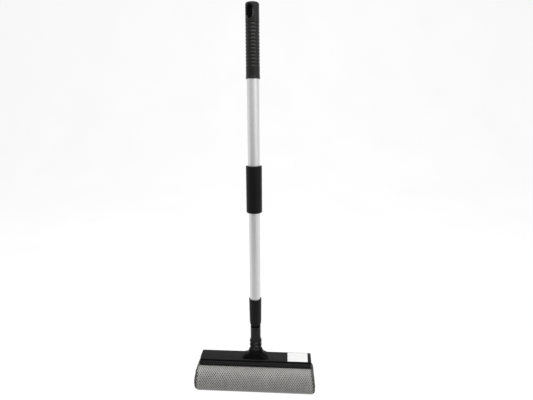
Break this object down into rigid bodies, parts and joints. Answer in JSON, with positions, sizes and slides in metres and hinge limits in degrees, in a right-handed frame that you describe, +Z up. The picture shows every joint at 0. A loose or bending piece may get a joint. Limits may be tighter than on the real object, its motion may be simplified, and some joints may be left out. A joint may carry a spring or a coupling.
{
  "type": "window squeegee",
  "caption": "Telescopic pole with a ribbed grip and a hanging hole, and a screw-on head with a net-covered sponge along its front and a rubber wiping blade behind.",
  "frame": {"origin": "centre of the hanging hole in the grip, on the pole's axis", "axes": "+Z up along the pole's axis, +X along the head to the right, +Y backward from the sponge to the blade"},
  "size_m": [0.247, 0.0885, 0.741],
  "materials": {
    "black_grip": "fine matt grain with ribs",
    "black_satin": "satin",
    "black_moulding": "semi-gloss",
    "aluminium": "brushed and anodised",
    "steel": "zinc plated",
    "nylon": "natural nylon",
    "rubber": "matt",
    "dark_foam": "open-cell foam",
    "pale_net": "woven thread"
  },
  "bodies": {
    "upper_pole": {"grip": "black_grip", "upper_tube": "aluminium", "mid_sleeve": "black_satin", "guide_bush": "nylon", "sleeve_rivet": "steel"},
    "lock_ring": {"lock_ring": "nylon"},
    "lower_pole": {"cam_plug": "black_satin", "lock_cap": "black_satin", "lock_screw": "steel", "lower_tube": "aluminium", "ferrule": "black_satin", "threaded_spigot": "black_satin", "ferrule_rivet": "steel"},
    "thread_washer": {"thread_washer": "rubber"},
    "head": {"head_body": "black_moulding", "clamp_strip": "black_satin", "sponge_carrier": "black_satin", "carrier_screw_1": "steel", "carrier_screw_2": "steel", "carrier_screw_3": "steel", "carrier_screw_4": "steel", "foam_sponge": "dark_foam", "net_cover": "pale_net", "blade_channel": "aluminium", "blade_rubber": "rubber", "blade_stop_left": "black_satin", "blade_stop_right": "black_satin"}
  },
  "joints": [
    {"name": "telescope", "type": "slide", "parent": "upper_pole", "child": "lock_ring", "axis": [0, 0, -1], "range_m": [-0.145, 0.115]},
    {"name": "twist_lock", "type": "hinge", "parent": "lock_ring", "child": "lower_pole", "pos_m": [0, 0, -0.1835], "axis": [0, 0, 1], "range_deg": [0, 100]},
    {"name": "head_travel", "type": "slide", "parent": "lower_pole", "child": "thread_washer", "axis": [0, 0, -1], "range_m": [0, 0.0161]},
    {"name": "head_turn", "type": "hinge", "parent": "thread_washer", "child": "head", "pos_m": [0, 0, -0.5972], "axis": [0, 0, -1], "range_deg": [0, 1440]}
  ],
  "couplings": [
    {"joint": "head_travel", "follows": "head_turn", "m_per_rad": 0.00063662}
  ]
}
